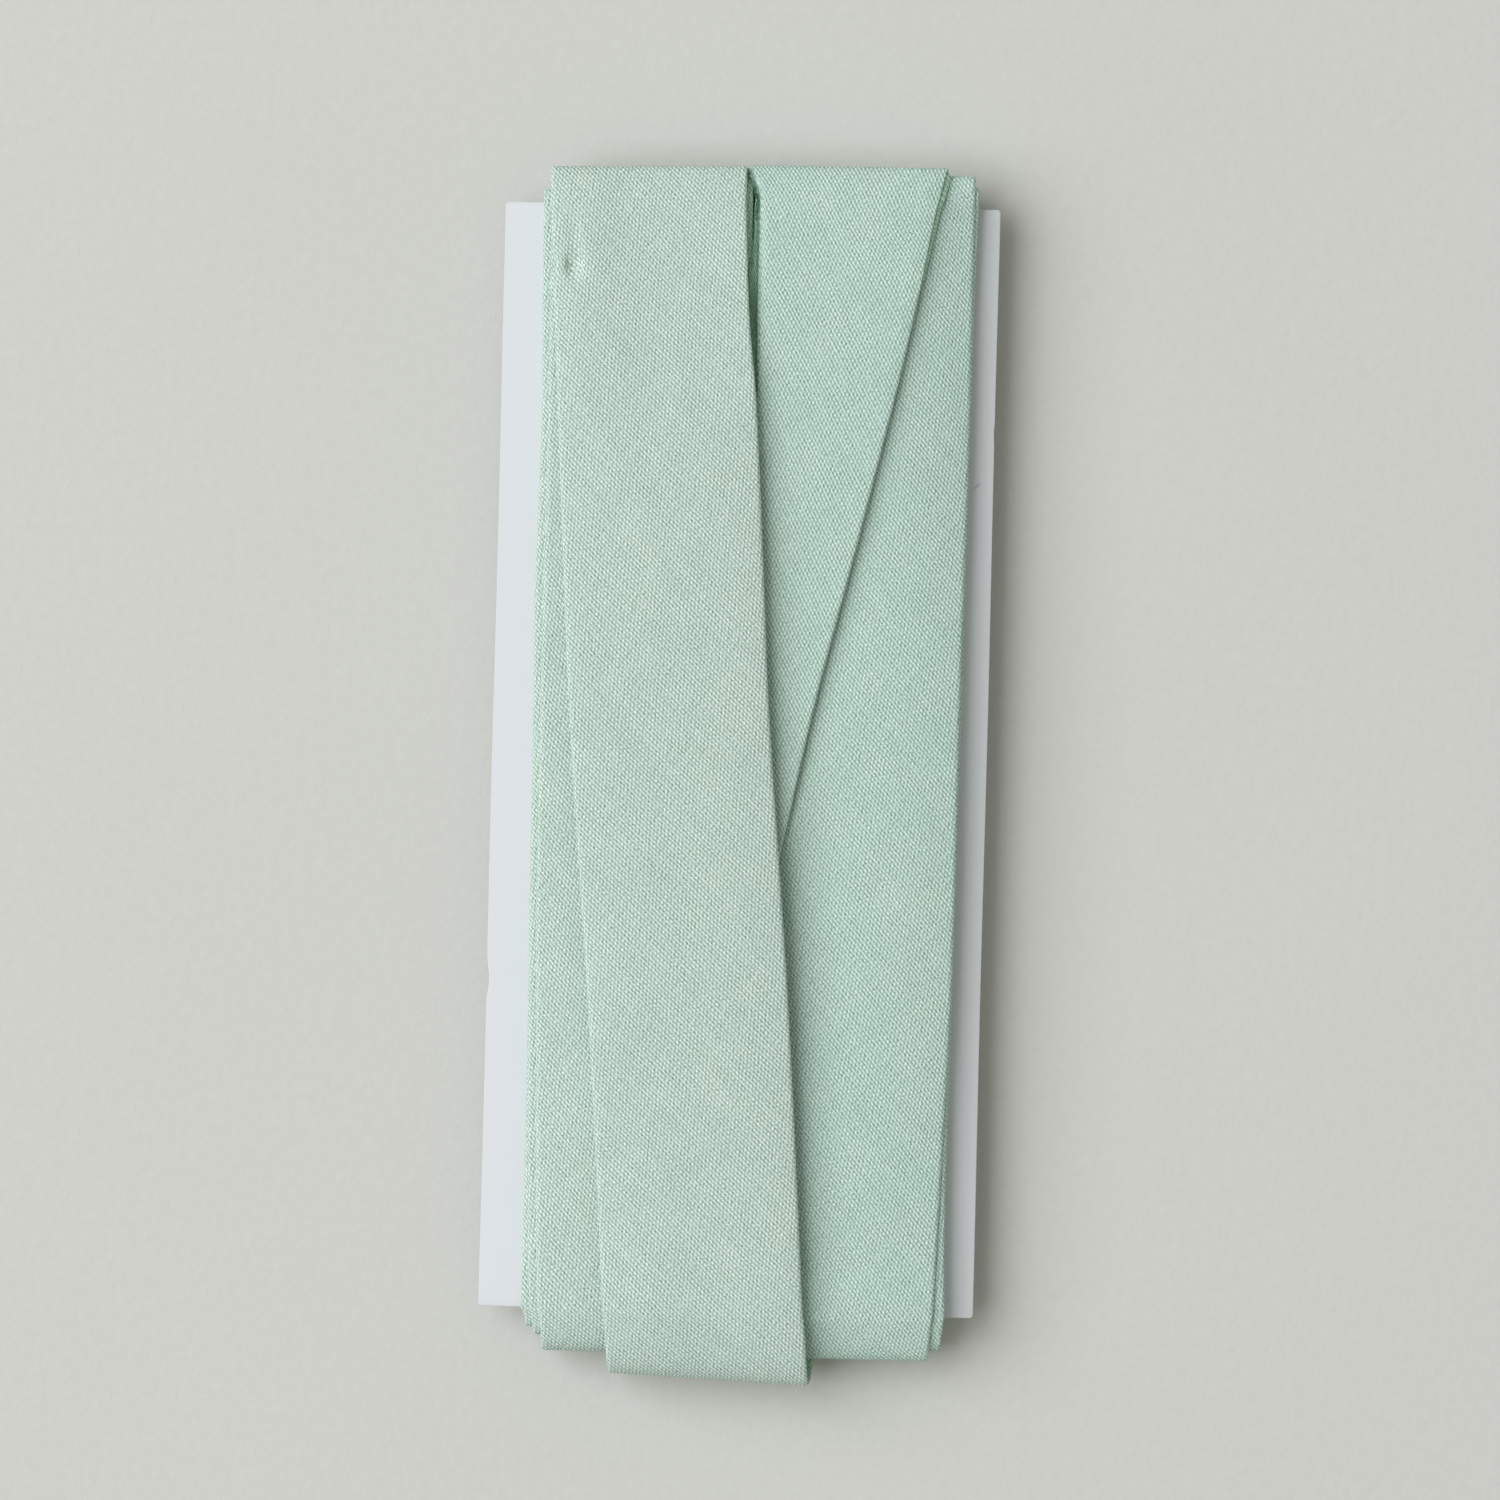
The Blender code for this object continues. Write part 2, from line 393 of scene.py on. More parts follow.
# How far the lower ply of the tucked end slips out past its right edge, down the
# card, and how far it drops. The fold's bend between two shares of it is drawn in,
# and the hem moves out with it, less further from the fold. Each sets in with the
# slip or with the columns.
SLIP = (
    (59.4, 0.60),
    (55.8, 0.50),
    (52.3, 0.36),
    (48.8, 0.28),
    (45.8, 0.00),
    (40.0, 0.00),
)
SLIP_FOOT = 45.8
SLIP_DROP = 0.28
SLIP_SETS = (0.0, 0.25)
SLIP_WITH_COLUMNS = (0.3, 0.9)
SLIP_BEHIND = (6.0, 0.5)
PINCH = 0.30
PINCH_SETS = (0.0, 0.2)
PINCHED_BEND = (0.4, 0.6)

# The slanting cut that ends the tape: where, for each millimetre across, and from
# where up the card the rows begin to turn towards it.
CUT_FROM = 14.0
CUT_SLANT = 1.0
CUT_TURN = 3.0

# How strongly painted shade deepens the cloth's colour to a greener tint where it lies in a fold: on
# the hems, on the ply that slips out, and on the left column's margin in the slit.
HEM_SHADE = 0.9
SLIP_SHADE = 0.7
MARGIN_SHADE = 0.8
MARGIN_X = -1.3
MARGIN_ALONG = 36.0

# The directions across the warp and the weft of the cloth cut on the bias, and
# how softly the stretch where its colour is greyer begins and ends.
WARP_ACROSS = (0.674, -0.738)
WEFT_ACROSS = (0.637, 0.770)
GREYER_ENDS = 4.0

# The angles past which an edge of the tape or the card is drawn sharp, and past
# which the card's edge gets its lip.
TAPE_SHARP = math.radians(62.0)
CARD_SHARP = math.radians(50.0)
LIP_ANGLE = math.radians(60.0)

# The card: how far its top is out of square, its corners and its lip, the waver
# of its long sides, its nicks (side, place along, depth and reach), and the place
# of its pencil tick.
OUT_OF_SQUARE = 0.4
CARD_CORNER = 0.35
CARD_LIP = 0.08
SIDE_CUTS = 150
SIDE_WAVER = 0.03
SIDE_WAVE = 9.0
NICKS = (
    (-1, -22.4, 0.22, 1.2),
    (-1, -23.6, 0.12, 0.6),
    (1, 32.9, 0.12, 0.4),
)
TICK_PLACE = (23.0, 27.7)
TICK_LONG = 0.25
TICK_WIDE = 0.02

# The stage, in metres: the floor, the camera over it and the soft light.
FLOOR_SIZE = 1.6
CAMERA_HEIGHT = 0.7
FIELD = 0.150
SENSOR = 36.0
VIEW_TURN = math.radians(1.45)
VIEW_MIDDLE = (0.00103, 0.00231)
WINDOW_AZIMUTH = math.radians(10.5)
WINDOW_HEIGHT = math.radians(49.5)
WINDOW_DISTANCE = 2.5
WINDOW_SIZE = 2.5
WINDOW_COLOUR = (0.981, 0.991, 1.033)
FILL_COLOUR = (0.96, 0.955, 0.87, 1.0)


def smooth(low, high, value):
    """Rise softly from 0 at low to 1 at high."""
    share = min(1.0, max(0.0, (value - low) / (high - low)))
    return share * share * (3.0 - 2.0 * share)


def between(start, end, share):
    """Give the value that lies a share of the way from start to end."""
    return start + (end - start) * share


def read_off(table, along, column=1):
    """Read a table of rows that run down the card at a place between its rows, smoothly."""
    last = len(table) - 1
    row = 0
    while row < last - 1 and along < table[row + 1][0]:
        row += 1
    before = table[max(row - 1, 0)]
    start = table[row]
    end = table[row + 1]
    after = table[min(row + 2, last)]
    length = end[0] - start[0]
    share = min(1.0, max(0.0, (along - start[0]) / length))
    lead_in = (end[column] - before[column]) / (end[0] - before[0]) * length
    lead_out = (after[column] - start[column]) / (after[0] - start[0]) * length
    square = share * share
    cube = square * share
    return (
        (2 * cube - 3 * square + 1) * start[column]
        + (cube - 2 * square + share) * lead_in
        + (3 * square - 2 * cube) * end[column]
        + (cube - square) * lead_out
    )


def read_straight(table, place):
    """Read a table of falling places and their values in straight lines between its rows."""
    row = 0
    while row < len(table) - 2 and place < table[row + 1][0]:
        row += 1
    start = table[row]
    end = table[row + 1]
    share = min(1.0, (place - start[0]) / (end[0] - start[0]))
    return between(start[1], end[1], share)


class Wire:
    """A socket of a material's nodes that sums can be written with."""

    def __init__(self, tree, socket=None):
        self.tree = tree
        self.socket = socket

    def add(self, kind, settings=None, inputs=None):
        """Add a node: its type, its settings, then the values or links of its sockets."""
        node = self.tree.nodes.new(kind)
        for name, value in (settings or {}).items():
            setattr(node, name, value)
        for name, value in (inputs or {}).items():
            if isinstance(value, Wire):
                self.tree.links.new(value.socket, node.inputs[name])
            else:
                node.inputs[name].default_value = value
        return node

    def out(self, node, name=0):
        """Wrap one of a node's outputs."""
        return Wire(self.tree, node.outputs[name])

    def maths(self, operation, *values):
        """Work out a number."""
        node = self.add("ShaderNodeMath", {"operation": operation}, dict(enumerate(values)))
        return self.out(node)

    def __add__(self, other):
        return self.maths("ADD", self, other)

    __radd__ = __add__

    def __sub__(self, other):
        return self.maths("SUBTRACT", self, other)

    def __rsub__(self, other):
        return self.maths("SUBTRACT", other, self)

    def __mul__(self, other):
        return self.maths("MULTIPLY", self, other)

    __rmul__ = __mul__

    def __truediv__(self, other):
        return self.maths("DIVIDE", self, other)

    def __rtruediv__(self, other):
        return self.maths("DIVIDE", other, self)

    def __pow__(self, other):
        return self.maths("POWER", self, other)

    def __rpow__(self, other):
        return self.maths("POWER", other, self)

    def __abs__(self):
        return self.maths("ABSOLUTE", self)

    def __round__(self):
        return self.maths("ROUND", self)

    def cosine(self):
        return self.maths("COSINE", self)

    def ramp(self, low, high):
        """Rise softly from 0 at low to 1 at high."""
        node = self.add(
            "ShaderNodeMapRange",
            {"interpolation_type": "SMOOTHSTEP"},
            {"Value": self, "From Min": low, "From Max": high},
        )
        return self.out(node)

    def noise(self, where, scale, detail=2.0, roughness=0.5):
        """Give a soft random pattern about 0 over a place."""
        node = self.add(
            "ShaderNodeTexNoise",
            None,
            {"Vector": where, "Scale": scale, "Detail": detail, "Roughness": roughness},
        )
        return self.out(node) - 0.5

    def place(self, x, y, z=0.0):
        """Join three numbers to a place."""
        return self.out(self.add("ShaderNodeCombineXYZ", None, {"X": x, "Y": y, "Z": z}))

    def split(self, place):
        """Give the first two numbers of a place."""
        parts = self.add("ShaderNodeSeparateXYZ", None, {0: place})
        return self.out(parts, 0), self.out(parts, 1)

    def mix(self, share, first, second, blend="MIX"):
        """Mix two colours, or multiply the first by a share of the second."""
        node = self.add(
            "ShaderNodeMix",
            {"data_type": "RGBA", "blend_type": blend, "clamp_factor": True},
            {0: share, 6: first, 7: second},
        )
        return self.out(node, 2)

    def shade(self, colour, level):
        """Make a colour lighter or darker."""
        plain = colour if isinstance(colour, Wire) else tuple(colour)[:3]
        node = self.add("ShaderNodeVectorMath", {"operation": "SCALE"}, {0: plain, "Scale": level})
        return self.out(node)

    def bump(self, strength, distance, height):
        """Turn a height over the surface into a direction that it faces."""
        return self.out(self.add(
            "ShaderNodeBump", None, {"Strength": strength, "Distance": distance, "Height": height}
        ))


def new_finish(name):
    """Start a material: its wire, its shader and its output."""
    material = bpy.data.materials.new(name)
    material.use_nodes = True
    tree = material.node_tree
    return material, Wire(tree), tree.nodes["Principled BSDF"]


def connect(wire, shader, name):
    """Lead a wire into one of the shader's sockets."""
    wire.tree.links.new(wire.socket, shader.inputs[name])


def cotton_finish(settings, greyer_stretch):
    """Plain-woven cotton cut on the bias, with slubs and a faint cloudiness.

    The cloth is a little greyer over one stretch of the tape, and painted shade
    deepens it to a greener tint where a point attribute marks a fold or the slit.
    """
    material, wire, shader = new_finish("mint cotton")
    along, across = wire.split(wire.out(wire.add("ShaderNodeUVMap", {"uv_map": "cloth"})))
    along = along / MM
    across = across / MM
    spot = wire.place(along, across)

    drift = wire.noise(spot, 0.12)
    warp_place = along * WARP_ACROSS[0] + across * WARP_ACROSS[1]
    warp_place = warp_place / settings.warp_pitch + drift * 1.2
    weft_place = along * WEFT_ACROSS[0] + across * WEFT_ACROSS[1]
    weft_place = weft_place / settings.weft_pitch + drift
    warp_slub = wire.noise(wire.place(round(warp_place) * 7.3, weft_place * 0.05), 1.0, 1.0)
    weft_slub = wire.noise(wire.place(round(weft_place) * 5.9, warp_place * 0.06, 9.0), 1.0, 1.0)
    slubs = warp_slub + weft_slub

    warp_round = (warp_place * (2 * math.pi)).cosine()
    leaning = ((weft_place - warp_place) * math.pi).cosine()
    crossing = ((weft_place + warp_place) * math.pi).cosine()
    pairing = (weft_place * math.pi).cosine()
    weave = warp_round + leaning * 0.55 + crossing * 0.18 + pairing * 0.20

    fuzz = wire.noise(spot, 4.5, 2.0, 0.7)
    cloud = wire.noise(spot, 0.22, 3.0, 0.55)
    patch = wire.noise(wire.place(along * 0.35, across), 0.09)
    nep = wire.noise(wire.place(along, across, 4.0), 1.5, 1.0).ramp(0.27, 0.33)

    # The weave's light and dark: partly the cloth's own threads and holes, partly painted shade and
    # highlight of their relief under the light from the left.
    level = 1.0 + weave * (0.23 + cloud * 0.10) + fuzz * 1.5 + cloud * 0.05 + patch * 0.03
    level = level + slubs * 0.18 + nep * 0.30
    tint = (cloud * 0.6 + patch * 0.5 + 0.5).ramp(0.2, 0.8)
    colour = wire.mix(tint, settings.mint_cool, settings.mint_warm)
    # The colour is a little greyer from the left column's first lap up to the tucked end.
    start, end = greyer_stretch
    greyed = along.ramp(start - GREYER_ENDS, start + GREYER_ENDS)
    greyed = greyed - along.ramp(end - GREYER_ENDS, end + GREYER_ENDS)
    colour = wire.mix(greyed, colour, settings.greyer_tint, "MULTIPLY")
    # Painted shade: where the cloth lies in a fold or the slit, its colour is deepened to a greener
    # tint.
    painted_fold_shade = wire.out(wire.add("ShaderNodeAttribute", {"attribute_name": "painted_fold_shade"}), "Fac")
    colour = wire.mix(painted_fold_shade, colour, settings.fold_shade_tint, "MULTIPLY")
    # The darker weave points, painted shade in part, are turned greener, as the cloth's darks are in
    # shade.
    shadow = 1.0 - level
    deeper = wire.place(1.0 - shadow * 0.20, 1.0, 1.0 - shadow * 0.12)
    connect(wire.mix(1.0, wire.shade(colour, level), deeper, "MULTIPLY"), shader, "Base Color")

    relief = weave * 0.02 + slubs * 0.02 + fuzz * 0.06 + nep * 0.03
    connect(wire.bump(1.0, MM, relief), shader, "Normal")
    shader.inputs["Roughness"].default_value = 0.92
    shader.inputs["Sheen Weight"].default_value = 0.04
    shader.inputs["Sheen Roughness"].default_value = 0.5
    shader.inputs["Specular IOR Level"].default_value = 0.15
    return material


def card_finish(settings):
    """Matt white board with a faint grain, greyer at its cut edges, and one small pencil tick."""
    material, wire, shader = new_finish("white card")
    where = wire.out(wire.add("ShaderNodeTexCoord"), "Object")
    across, along = wire.split(where)
    across = across / MM - CARD_MIDDLE.x / MM
    along = along / MM - CARD_MIDDLE.y / MM
    grain = wire.noise(where, 2500.0, 3.0, 0.6)
    cloud = wire.noise(where, 90.0, 3.0)

    tick_x, tick_y = TICK_PLACE
    slant = (across - tick_x) * 0.8 + (along - tick_y) * 0.6
    beside = (across - tick_x) * 0.6 - (along - tick_y) * 0.8
    reach = (slant * slant / TICK_LONG + beside * beside / TICK_WIDE) ** 0.5
    tick = 1.0 - (reach + grain * 0.8).ramp(0.4, 1.3)

    edge = abs(across).ramp(HALF_WIDTH - CARD_CORNER, HALF_WIDTH)
    level = 1.0 + grain * 0.03 + cloud * 0.02 - edge * 0.02
    colour = wire.mix(tick * 0.35, settings.card_white, settings.pencil)
    connect(wire.shade(colour, level), shader, "Base Color")
    connect(wire.bump(0.25, 0.04 * MM, grain + cloud), shader, "Normal")
    connect(0.62 + grain * 0.08, shader, "Roughness")
    shader.inputs["Specular IOR Level"].default_value = 0.3
    return material


def floor_finish(settings):
    """Matt pale grey paper with a faint tooth."""
    material, wire, shader = new_finish("pale floor")
    where = wire.out(wire.add("ShaderNodeTexCoord"), "Object")
    tooth = wire.noise(where, 900.0, 4.0, 0.65)
    cloud = wire.noise(where, 25.0, 3.0)
    level = 1.0 + tooth * 0.09 + cloud * 0.03
    connect(wire.shade(settings.floor_grey, level), shader, "Base Color")
    connect(wire.bump(0.6, 0.08 * MM, tooth), shader, "Normal")
    shader.inputs["Roughness"].default_value = 0.9
    shader.inputs["Specular IOR Level"].default_value = 0.2
    return material


def make_laps():
    """Name every lap of the winding, in the order in which it is wound."""
    right = [dict(zip(LAP_COLUMNS, row), kind="right column") for row in RIGHT_COLUMN]
    left = [dict(zip(LAP_COLUMNS, row), kind="left column") for row in LEFT_COLUMN]
    for order, lap in enumerate(right):
        lap["droop"] = RIGHT_DROOP * (LOWEST_DROOP + DROOP_STEP * order)
        lap["lean"] = RIGHT_LEAN
        lap["fullness"] = RIGHT_FULLNESS
    for lap in left:
        lap["droop"] = 0.0
        lap["lean"] = LEFT_LEAN
        lap["fullness"] = LEFT_FULLNESS
    for lap in right + left:
        lap["front"] = (
            (HALF_CARD, lap["top_left"], lap["top_left"] + TAPE_WIDTH),
            (-HALF_CARD, lap["bottom_left"], lap["bottom_left"] + TAPE_WIDTH),
        )
        lap["swing"] = 0.0
        lap["top_skew"] = 0.0
        lap["bottom_skew"] = 0.0
        lap["at_slit"] = lap is left[-1]
    right[-2]["front"] = NEXT_TO_TOP_RIGHT
    right[-1]["front"] = TOP_RIGHT
    right[-1]["kind"] = "crossing"
    left[-2]["front"] = NEXT_TO_TOP_LEFT
    left[-1]["front"] = TOP_LEFT
    return right + left + [LAST_LAP, TUCKED_LAP]


def crowned(lap, offset, along):
    """Give how far a lap's cross-section stands over its edges, less near its turns."""
    calm = between(TURN_CROWN, 1.0, smooth(0.0, CROWN_REACH, HALF_CARD - abs(along)))
    return lap["crown"] * calm * (1.0 - (abs(offset) / HALF_TAPE) ** lap["fullness"])


def dimple(x, along):
    """Give the depth of the small dent by the last turn's left edge, and of its crease."""
    aside = (x - DENT_X) / DENT_WIDTH
    below = (along - DENT_ALONG) / DENT_LENGTH
    dent = DENT_DEPTH * math.exp(-(aside ** 2) - below ** 2)
    beside = x - DENT_X + CREASE_SLANT * (along - DENT_ALONG)
    crease = CREASE_DEPTH * math.exp(-((beside / CREASE_WIDTH) ** 2))
    crease *= smooth(DENT_ALONG - CREASE_START, DENT_ALONG, along) * smooth(*CREASE_END, along)
    return dent + crease


def fold_depth(x, along):
    """Give how deep the tucked end lies at and beside its fold, under its face."""
    if along < SLIT_ALONG[0]:
        return 0.0
    beside = x - read_off(FOLD_LINE, along, 1)
    if beside < 0.0:
        depth = read_straight(RIPPLES, beside)
    else:
        part = max(0.0, 1.0 - beside / read_off(FOLD_LINE, along, 2))
        depth = SHOULDER_DROP * (1.0 - math.sqrt(1.0 - part * part))
    return depth * smooth(*SLIT_ALONG, along)


def front_edges(lap, along):
    """Give a front run's left and right edges."""
    return read_off(lap["front"], along, 1), read_off(lap["front"], along, 2)


def front_height(lap, x, along):
    """Give the tape's height over the card's middle, at a point of a front run."""
    left, right = front_edges(lap, along)
    offset = x - (left + right) / 2
    if lap["kind"] == "last":
        own = lap["crown"] * (1.0 - (abs(offset) / HALF_TAPE) ** lap["fullness"])
        lift = HEAD_LIFT * max(0.0, offset / HALF_TAPE) ** 3
        lift -= HEAD_SAG * smooth(*HEAD_SAG_ACROSS, offset)
        lift *= smooth(*HEAD_ALONG, along)
        lift += FOOT_LIFT * smooth(*FOOT_LIFT_ACROSS, offset) * smooth(*FOOT_ALONG, along)
        return read_off(LAST_HEIGHTS, along) + own + lift - dimple(x, along)
    if lap["kind"] == "tucked":
        drop = TUCKED_DROP * smooth(*TUCKED_DROP_ACROSS, offset)
        sink = COVERED_SINK * smooth(*COVERED_ACROSS, x) * smooth(*COVERED_ALONG, along)
        return read_off(TUCKED_HEIGHTS, along) - drop - sink - fold_depth(x, along)
    beside = max(0.0, offset - DROOP_FROM) / (HALF_TAPE - DROOP_FROM)
    droop = lap["droop"] * beside * beside * smooth(*DROOP_ALONG, along)
    return lap["edge"] + crowned(lap, offset, along) - droop


def back_edges(lap, following, along):
    """Give a back run's left and right edges: from its lap's foot to the next one's head."""
    share = (along + HALF_CARD) / (2 * HALF_CARD)
    if lap["kind"] == "last":
        left = between(BACK_BOTTOM_LEFT, BACK_TOP_LEFT, share)
        return left, left + TAPE_WIDTH
    foot = lap["front"][-1]
    head = following["front"][0]
    return between(foot[1], head[1], share), between(foot[2], head[2], share)


def back_height(lap, following, x, along):
    """Give how far behind the card's middle the tape lies, at a point of a back run."""
    if lap["kind"] == "last":
        return BACK_LEVEL
    left, right = back_edges(lap, following, along)
    own = BACK_CROWN * crowned(lap, x - (left + right) / 2, along)
    if lap["kind"] == "crossing":
        on_pile = lap["edge"] + own
        on_card = LEFT_COLUMN[0][LAP_COLUMNS.index("edge")]
        settled = between(on_card, on_pile, smooth(*PILE_EDGE, x))
        return between(on_pile, settled, smooth(0.0, SETTLE_REACH, along + HALF_CARD))
    if lap["kind"] == "left column":
        edge_x = between(*CROSSING_EDGE, (along + HALF_CARD) / (2 * HALF_CARD))
        cover = smooth(*CROSSING_COVER, x - edge_x)
        return lap["edge"] * LEFT_BACK_SHARE + own + CROSSING_RISE * cover
    return lap["edge"] + own


def row_places(lap, start, end):
    """Give the places of a run's rows: even, and closer together where the last turn is dented."""
    count = max(2, math.ceil(abs(end - start) / lap["spacing"]))
    places = [between(start, end, step / count) for step in range(count + 1)]
    if lap["kind"] != "last" or start < end:
        return places
    fine_count = int(2 * DENT_REACH / DENT_SPACING) + 1
    fine = [DENT_ALONG + DENT_REACH - step * DENT_SPACING for step in range(fine_count)]
    clear = DENT_REACH + DENT_SPACING
    coarse = [place for place in places if abs(place - DENT_ALONG) > clear]
    return sorted(coarse + fine, reverse=True)


def above(height, along, level, x):
    """Give how far the tape lies over a row's own level, at a place across it."""
    return height(x, along) - level


def part_of(height, share, x):
    """Give a share of how far the tape lies over a row's own level, at a place across it."""
    return height(x) * share


def run_stations(lap, start, end, side, edges, height):
    """Give the rows of points along one run, from start to end up or down the card."""
    stations = []
    for along in row_places(lap, start, end):
        left, right = edges(along)
        level = height((left + right) / 2, along)
        stations.append(
            {
                "lap": lap,
                "side": side,
                "along": along,
                "level": level * side,
                "left": left,
                "right": right,
                "height": partial(above, height, along, level),
                "skew": 0.0,
                "dense": 1.0,
                "cut": 0.0,
            }
        )
    return stations


def turn_stations(before, after, lap, end):
    """Give the rows of points about a card end, between two runs' last and first rows.

    In front the tape runs on nearly flat and bends tightly at its tip, behind it
    comes back in a fuller curve.
    """
    at_top = end > 0
    overhang = lap["top"] if at_top else lap["bottom"]
    skew = lap["top_skew"] if at_top else lap["bottom_skew"]
    front = max(before["level"], after["level"])
    tip = front - min(front, overhang * (TOP_TIP_DROP if at_top else BOTTOM_TIP_DROP))
    gentle = not at_top and lap["kind"] in ("last", "left column")
    droop = GENTLE_DROOP if gentle else STEEP_DROOP
    stations = []
    for step in range(1, lap["turn_steps"]):
        share = step / lap["turn_steps"]
        angle = math.pi * share
        near = before if share < 0.5 else after
        if near["side"] > 0:
            stretch = math.sin(angle) ** FRONT_REACH
            rise = abs(math.cos(angle)) ** FRONT_RISE * (1.0 - droop * stretch)
        else:
            stretch = math.sin(angle) ** BACK_REACH
            rise = abs(math.cos(angle)) ** BACK_RISE
        along = end * (HALF_CARD + overhang * stretch)
        height = near["height"]
        fade = math.cos(angle) ** 2
        if lap["kind"] == "tucked" and near is after:
            height = partial(above, partial(front_height, lap), along, near["level"])
            fade = smooth(*TUCKED_FADE, share)
        moved = lap["swing"] * stretch if at_top else lap["lean"] * math.sin(angle)
        stations.append(
            {
                "lap": lap,
                "side": near["side"],
                "along": along,
                "level": tip + (near["level"] - tip) * rise,
                "left": between(before["left"], after["left"], share) + moved,
                "right": between(before["right"], after["right"], share) + moved,
                "height": partial(part_of, height, fade),
                "skew": skew * math.sin(angle) * end,
                "dense": smooth(*TUCKED_DENSE, share),
                "cut": 0.0,
            }
        )
    return stations


def wind():
    """Give every row of points of the winding, from the tape's start to its tucked end."""
    laps = make_laps()
    stations = []
    for lap, following in zip(laps, laps[1:] + [None]):
        foot = -HALF_CARD if following else -CUT_FROM
        front = run_stations(
            lap, HALF_CARD, foot, 1, partial(front_edges, lap), partial(front_height, lap)
        )
        if stations:
            stations += turn_stations(stations[-1], front[0], lap, 1)
        stations += front
        if following:
            back = run_stations(
                lap, -HALF_CARD, HALF_CARD, -1,
                partial(back_edges, lap, following), partial(back_height, lap, following),
            )
            stations += turn_stations(front[-1], back[0], lap, -1)
            stations += back
    return stations


def measure(stations):
    """Add to each row how far along the tape it lies, which way is out, and its slant."""
    travelled = 0.0
    for row, station in enumerate(stations):
        before = stations[max(row - 1, 0)]
        after = stations[min(row + 1, len(stations) - 1)]
        travelled += math.hypot(
            (station["left"] + station["right"] - before["left"] - before["right"]) / 2,
            station["along"] - before["along"],
            station["level"] - before["level"],
        )
        run = (after["along"] - before["along"], after["level"] - before["level"])
        length = math.hypot(*run)
        aside = (after["left"] + after["right"] - before["left"] - before["right"]) / 2
        station["travelled"] = travelled
        station["out"] = (run[1] / length, -run[0] / length)
        station["own_slant"] = aside / math.hypot(length, aside)
    for row, station in enumerate(stations):
        slants = 0.0
        weights = 0.0
        for other in stations[max(row - SLANT_ROWS, 0):row + SLANT_ROWS + 1]:
            apart = abs(other["travelled"] - station["travelled"])
            weight = max(0.0, 1.0 - apart / SLANT_REACH)
            slants += other["own_slant"] * weight
            weights += weight
        station["slant"] = slants / weights
    return travelled


def fold_section():
    """Give the folded tape's outline: place across, height in its thickness, place on the cloth.

    It starts at the left hem's cut edge, goes round the outside to the right
    hem's cut edge, and comes back along the inside of the folds.
    """

    def line(start, end, count):
        return [between(start, end, step / count) for step in range(count + 1)]

    def fold(side, radius):
        points = []
        for step in range(1, FOLD_STEPS):
            angle = math.pi * step / FOLD_STEPS
            on_cloth = side * (FACE_EDGE + FOLD_LENGTH * step / FOLD_STEPS)
            across = side * (FACE_EDGE + radius * math.sin(angle))
            points.append((across, radius * math.cos(angle), on_cloth))
        return points

    def hem(side, places, height):
        flat_out = 2 * FACE_EDGE + FOLD_LENGTH
        return [(across, height, side * (flat_out - abs(across))) for across in places]

    face = line(-FACE_EDGE, -FACE_EDGE + EDGE_ZONE, EDGE_COLUMNS)
    face += line(-FACE_EDGE + EDGE_ZONE, FACE_EDGE - RIGHT_COLUMNS[0], FACE_COLUMNS)[1:]
    face += [FACE_EDGE - inset for inset in RIGHT_COLUMNS[1:]]
    left_hem = line(-HEM_END, -FACE_EDGE, HEM_COLUMNS)
    right_hem = line(FACE_EDGE, HEM_END, HEM_COLUMNS // 2)

    section = hem(-1, left_hem, -FOLD_OUTSIDE)
    section += fold(-1, FOLD_OUTSIDE)[::-1]
    section += [(across, FOLD_OUTSIDE, across) for across in face]
    section += fold(1, FOLD_OUTSIDE)
    section += hem(1, right_hem, -FOLD_OUTSIDE)
    section += hem(1, right_hem[::-1], -FOLD_GAP)
    section += fold(1, FOLD_GAP)[::-1]
    section += [(across, FOLD_GAP, across) for across in face[::-1]]
    section += fold(-1, FOLD_GAP)
    section += hem(-1, left_hem[::-1], -FOLD_GAP)
    section.append(section[0])
    return section


def tucked_front(station):
    """Tell whether a row belongs to the front of the tucked end."""
    return station["lap"]["kind"] == "tucked" and station["side"] > 0


def crowd(station, across, ranks):
    """Move the columns of a tucked row together at its fold, by their order over the face."""
    if not tucked_front(station) or across not in ranks:
        return across
    fold = read_off(FOLD_LINE, station["along"]) - (station["left"] + station["right"]) / 2
    low = max(EDGE_KEEP - FACE_EDGE, fold + DENSE_FROM)
    high = fold + DENSE_TO
    dense_end = COLUMNS_BEFORE + DENSE_COLUMNS
    places = (
        (0, -FACE_EDGE),
        (COLUMNS_BEFORE, low),
        (dense_end, high),
        (dense_end + SHOULDER_COLUMNS, high + SHOULDER_REACH),
        (len(ranks) - 1, FACE_EDGE),
    )
    rank = ranks[across]
    start, end = next(pair for pair in zip(places, places[1:]) if rank <= pair[1][0])
    crowded = between(start[1], end[1], (rank - start[0]) / (end[0] - start[0]))
    return between(across, crowded, station["dense"] * smooth(*CROWD_ALONG, station["along"]))


def lay_across(station):
    """Give the tape's line across a row: the length from its right edge, place and height."""
    x = station["right"]
    level = station["height"](x)
    travelled = 0.0
    points = [(travelled, x, level)]
    step = RIPPLE_STEP if tucked_front(station) else PLAIN_STEP
    while travelled < station["right"] - station["left"]:
        x -= step
        before = level
        level = station["height"](x)
        travelled += math.hypot(step, level - before)
        points.append((travelled, x, level))
    return points


